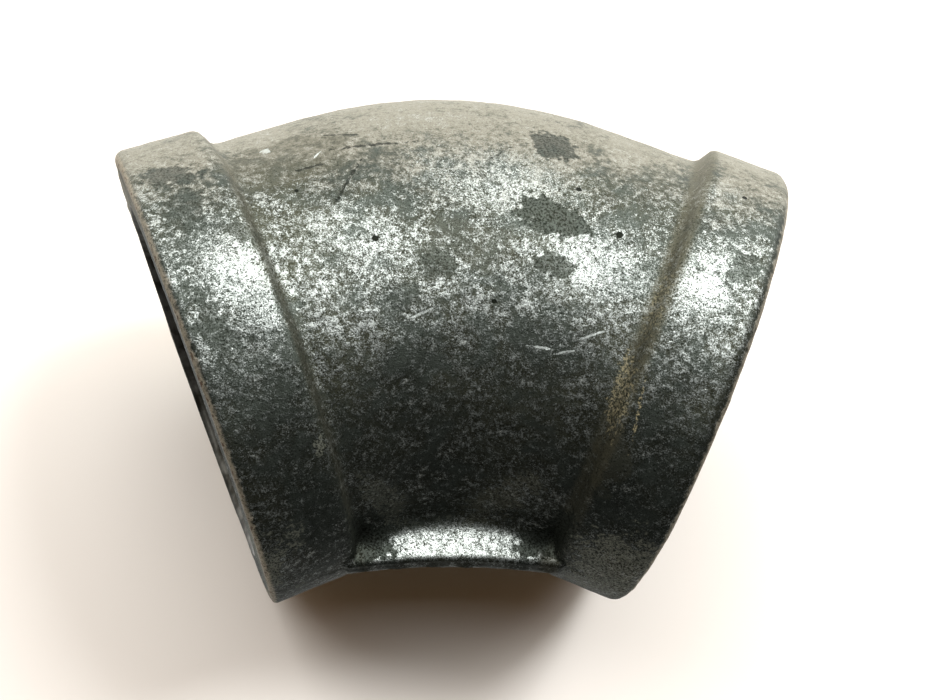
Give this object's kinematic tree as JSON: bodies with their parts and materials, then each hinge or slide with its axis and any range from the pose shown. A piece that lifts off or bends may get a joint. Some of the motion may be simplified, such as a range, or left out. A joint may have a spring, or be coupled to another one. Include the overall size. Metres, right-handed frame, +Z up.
{
  "type": "pipe elbow",
  "caption": "Galvanised malleable-iron 45 degree pipe elbow with banded ends, tapered female threads and a throat rib, lying on its side.",
  "frame": {"origin": "middle of the bounding box on the ground plane that the elbow lies on", "axes": "+X across the two mouths, +Y from the throat to the back of the bend, +Z up, square to the plane of the bend"},
  "size_m": [0.0804, 0.0604, 0.0547],
  "materials": {
    "galvanised_casting": "weathered hot-dip zinc over a sand-cast skin, dark grey with bright worn speckle and warm dirt in the hollows"
  },
  "bodies": {
    "root": {"elbow_casting": "galvanised_casting"}
  },
  "joints": []
}
